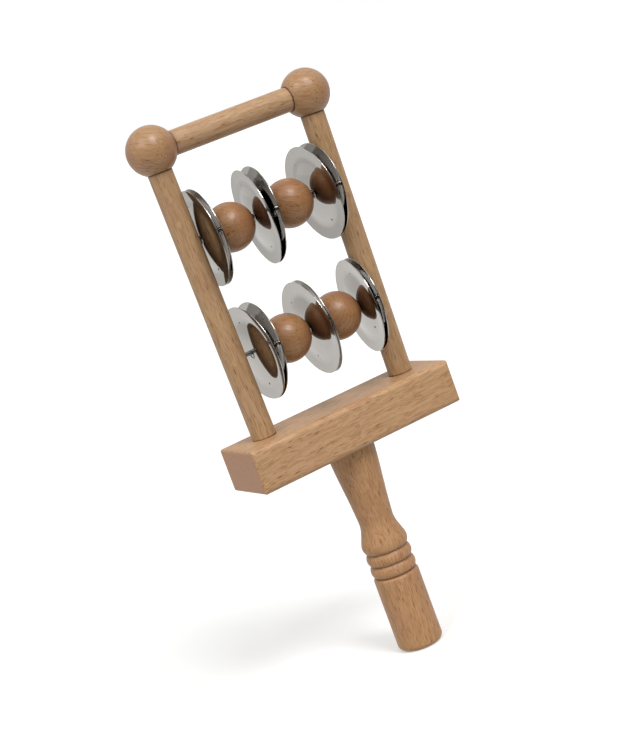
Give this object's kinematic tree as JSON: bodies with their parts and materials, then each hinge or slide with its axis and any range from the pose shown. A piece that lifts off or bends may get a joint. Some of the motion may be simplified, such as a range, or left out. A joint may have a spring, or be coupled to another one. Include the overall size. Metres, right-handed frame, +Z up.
{
  "type": "jingle stick",
  "caption": "Wooden hand jingle: a turned handle under a small dowel frame whose steel rods carry loose beads and pairs of domed jingle plates that slide and ring when shaken.",
  "frame": {"origin": "centre of the handle's lower end face", "axes": "+Z up the handle to the top bar, +X along the rods from the left post to the right one, -Y to the front"},
  "size_m": [0.119, 0.05, 0.2965],
  "materials": {
    "handle_beech": "turned, sanded and lightly waxed beech",
    "block_beech": "planed beech with eased edges",
    "dowel_beech": "sanded beech dowel",
    "ball_beech": "turned and varnished beech, satin",
    "rod_steel": "bright drawn steel rod",
    "jingle_steel": "pressed sheet steel, nickel plated, mirror bright"
  },
  "bodies": {
    "frame": {"handle": "handle_beech", "base_block": "block_beech", "left_post": "dowel_beech", "right_post": "dowel_beech", "left_ball": "ball_beech", "right_ball": "ball_beech", "top_bar": "dowel_beech", "upper_rod": "rod_steel", "lower_rod": "rod_steel"},
    "upper_left_jingle_outer": {"upper_left_jingle_outer": "jingle_steel"},
    "upper_left_jingle_inner": {"upper_left_jingle_inner": "jingle_steel"},
    "upper_left_bead": {"upper_left_bead": "ball_beech"},
    "upper_middle_jingle_left": {"upper_middle_jingle_left": "jingle_steel"},
    "upper_middle_jingle_right": {"upper_middle_jingle_right": "jingle_steel"},
    "upper_right_bead": {"upper_right_bead": "ball_beech"},
    "upper_right_jingle_inner": {"upper_right_jingle_inner": "jingle_steel"},
    "upper_right_jingle_outer": {"upper_right_jingle_outer": "jingle_steel"},
    "lower_left_jingle_outer": {"lower_left_jingle_outer": "jingle_steel"},
    "lower_left_jingle_inner": {"lower_left_jingle_inner": "jingle_steel"},
    "lower_left_bead": {"lower_left_bead": "ball_beech"},
    "lower_middle_jingle_left": {"lower_middle_jingle_left": "jingle_steel"},
    "lower_middle_jingle_right": {"lower_middle_jingle_right": "jingle_steel"},
    "lower_right_bead": {"lower_right_bead": "ball_beech"},
    "lower_right_jingle_inner": {"lower_right_jingle_inner": "jingle_steel"},
    "lower_right_jingle_outer": {"lower_right_jingle_outer": "jingle_steel"}
  },
  "joints": [
    {"name": "upper_left_jingle_outer_slide", "type": "slide", "parent": "frame", "child": "upper_left_jingle_outer", "axis": [1, 0, 0], "range_m": [-0.00044, 0.00022]},
    {"name": "upper_left_jingle_inner_slide", "type": "slide", "parent": "frame", "child": "upper_left_jingle_inner", "axis": [1, 0, 0], "range_m": [-0.00022, 0.00001]},
    {"name": "upper_left_bead_slide", "type": "slide", "parent": "frame", "child": "upper_left_bead", "axis": [1, 0, 0], "range_m": [-0.00001, 0.00083]},
    {"name": "upper_middle_jingle_left_slide", "type": "slide", "parent": "frame", "child": "upper_middle_jingle_left", "axis": [1, 0, 0], "range_m": [-0.00083, 0.00016]},
    {"name": "upper_middle_jingle_right_slide", "type": "slide", "parent": "frame", "child": "upper_middle_jingle_right", "axis": [1, 0, 0], "range_m": [-0.00016, 0.00246]},
    {"name": "upper_right_bead_slide", "type": "slide", "parent": "frame", "child": "upper_right_bead", "axis": [1, 0, 0], "range_m": [-0.00246, 0.00153]},
    {"name": "upper_right_jingle_inner_slide", "type": "slide", "parent": "frame", "child": "upper_right_jingle_inner", "axis": [1, 0, 0], "range_m": [-0.00153, 0.00001]},
    {"name": "upper_right_jingle_outer_slide", "type": "slide", "parent": "frame", "child": "upper_right_jingle_outer", "axis": [1, 0, 0], "range_m": [-0.00001, 0.00231]},
    {"name": "lower_left_jingle_outer_slide", "type": "slide", "parent": "frame", "child": "lower_left_jingle_outer", "axis": [1, 0, 0], "range_m": [-0.00339, 0.00006]},
    {"name": "lower_left_jingle_inner_slide", "type": "slide", "parent": "frame", "child": "lower_left_jingle_inner", "axis": [1, 0, 0], "range_m": [-0.00006, 0.00211]},
    {"name": "lower_left_bead_slide", "type": "slide", "parent": "frame", "child": "lower_left_bead", "axis": [1, 0, 0], "range_m": [-0.00211, 0.00033]},
    {"name": "lower_middle_jingle_left_slide", "type": "slide", "parent": "frame", "child": "lower_middle_jingle_left", "axis": [1, 0, 0], "range_m": [-0.00033, 0.00009]},
    {"name": "lower_middle_jingle_right_slide", "type": "slide", "parent": "frame", "child": "lower_middle_jingle_right", "axis": [1, 0, 0], "range_m": [-0.00009, 0.00001]},
    {"name": "lower_right_bead_slide", "type": "slide", "parent": "frame", "child": "lower_right_bead", "axis": [1, 0, 0], "range_m": [-0.00001, 0.00015]},
    {"name": "lower_right_jingle_inner_slide", "type": "slide", "parent": "frame", "child": "lower_right_jingle_inner", "axis": [1, 0, 0], "range_m": [-0.00015, 0.00001]},
    {"name": "lower_right_jingle_outer_slide", "type": "slide", "parent": "frame", "child": "lower_right_jingle_outer", "axis": [1, 0, 0], "range_m": [-0.00001, 0.0002]}
  ]
}
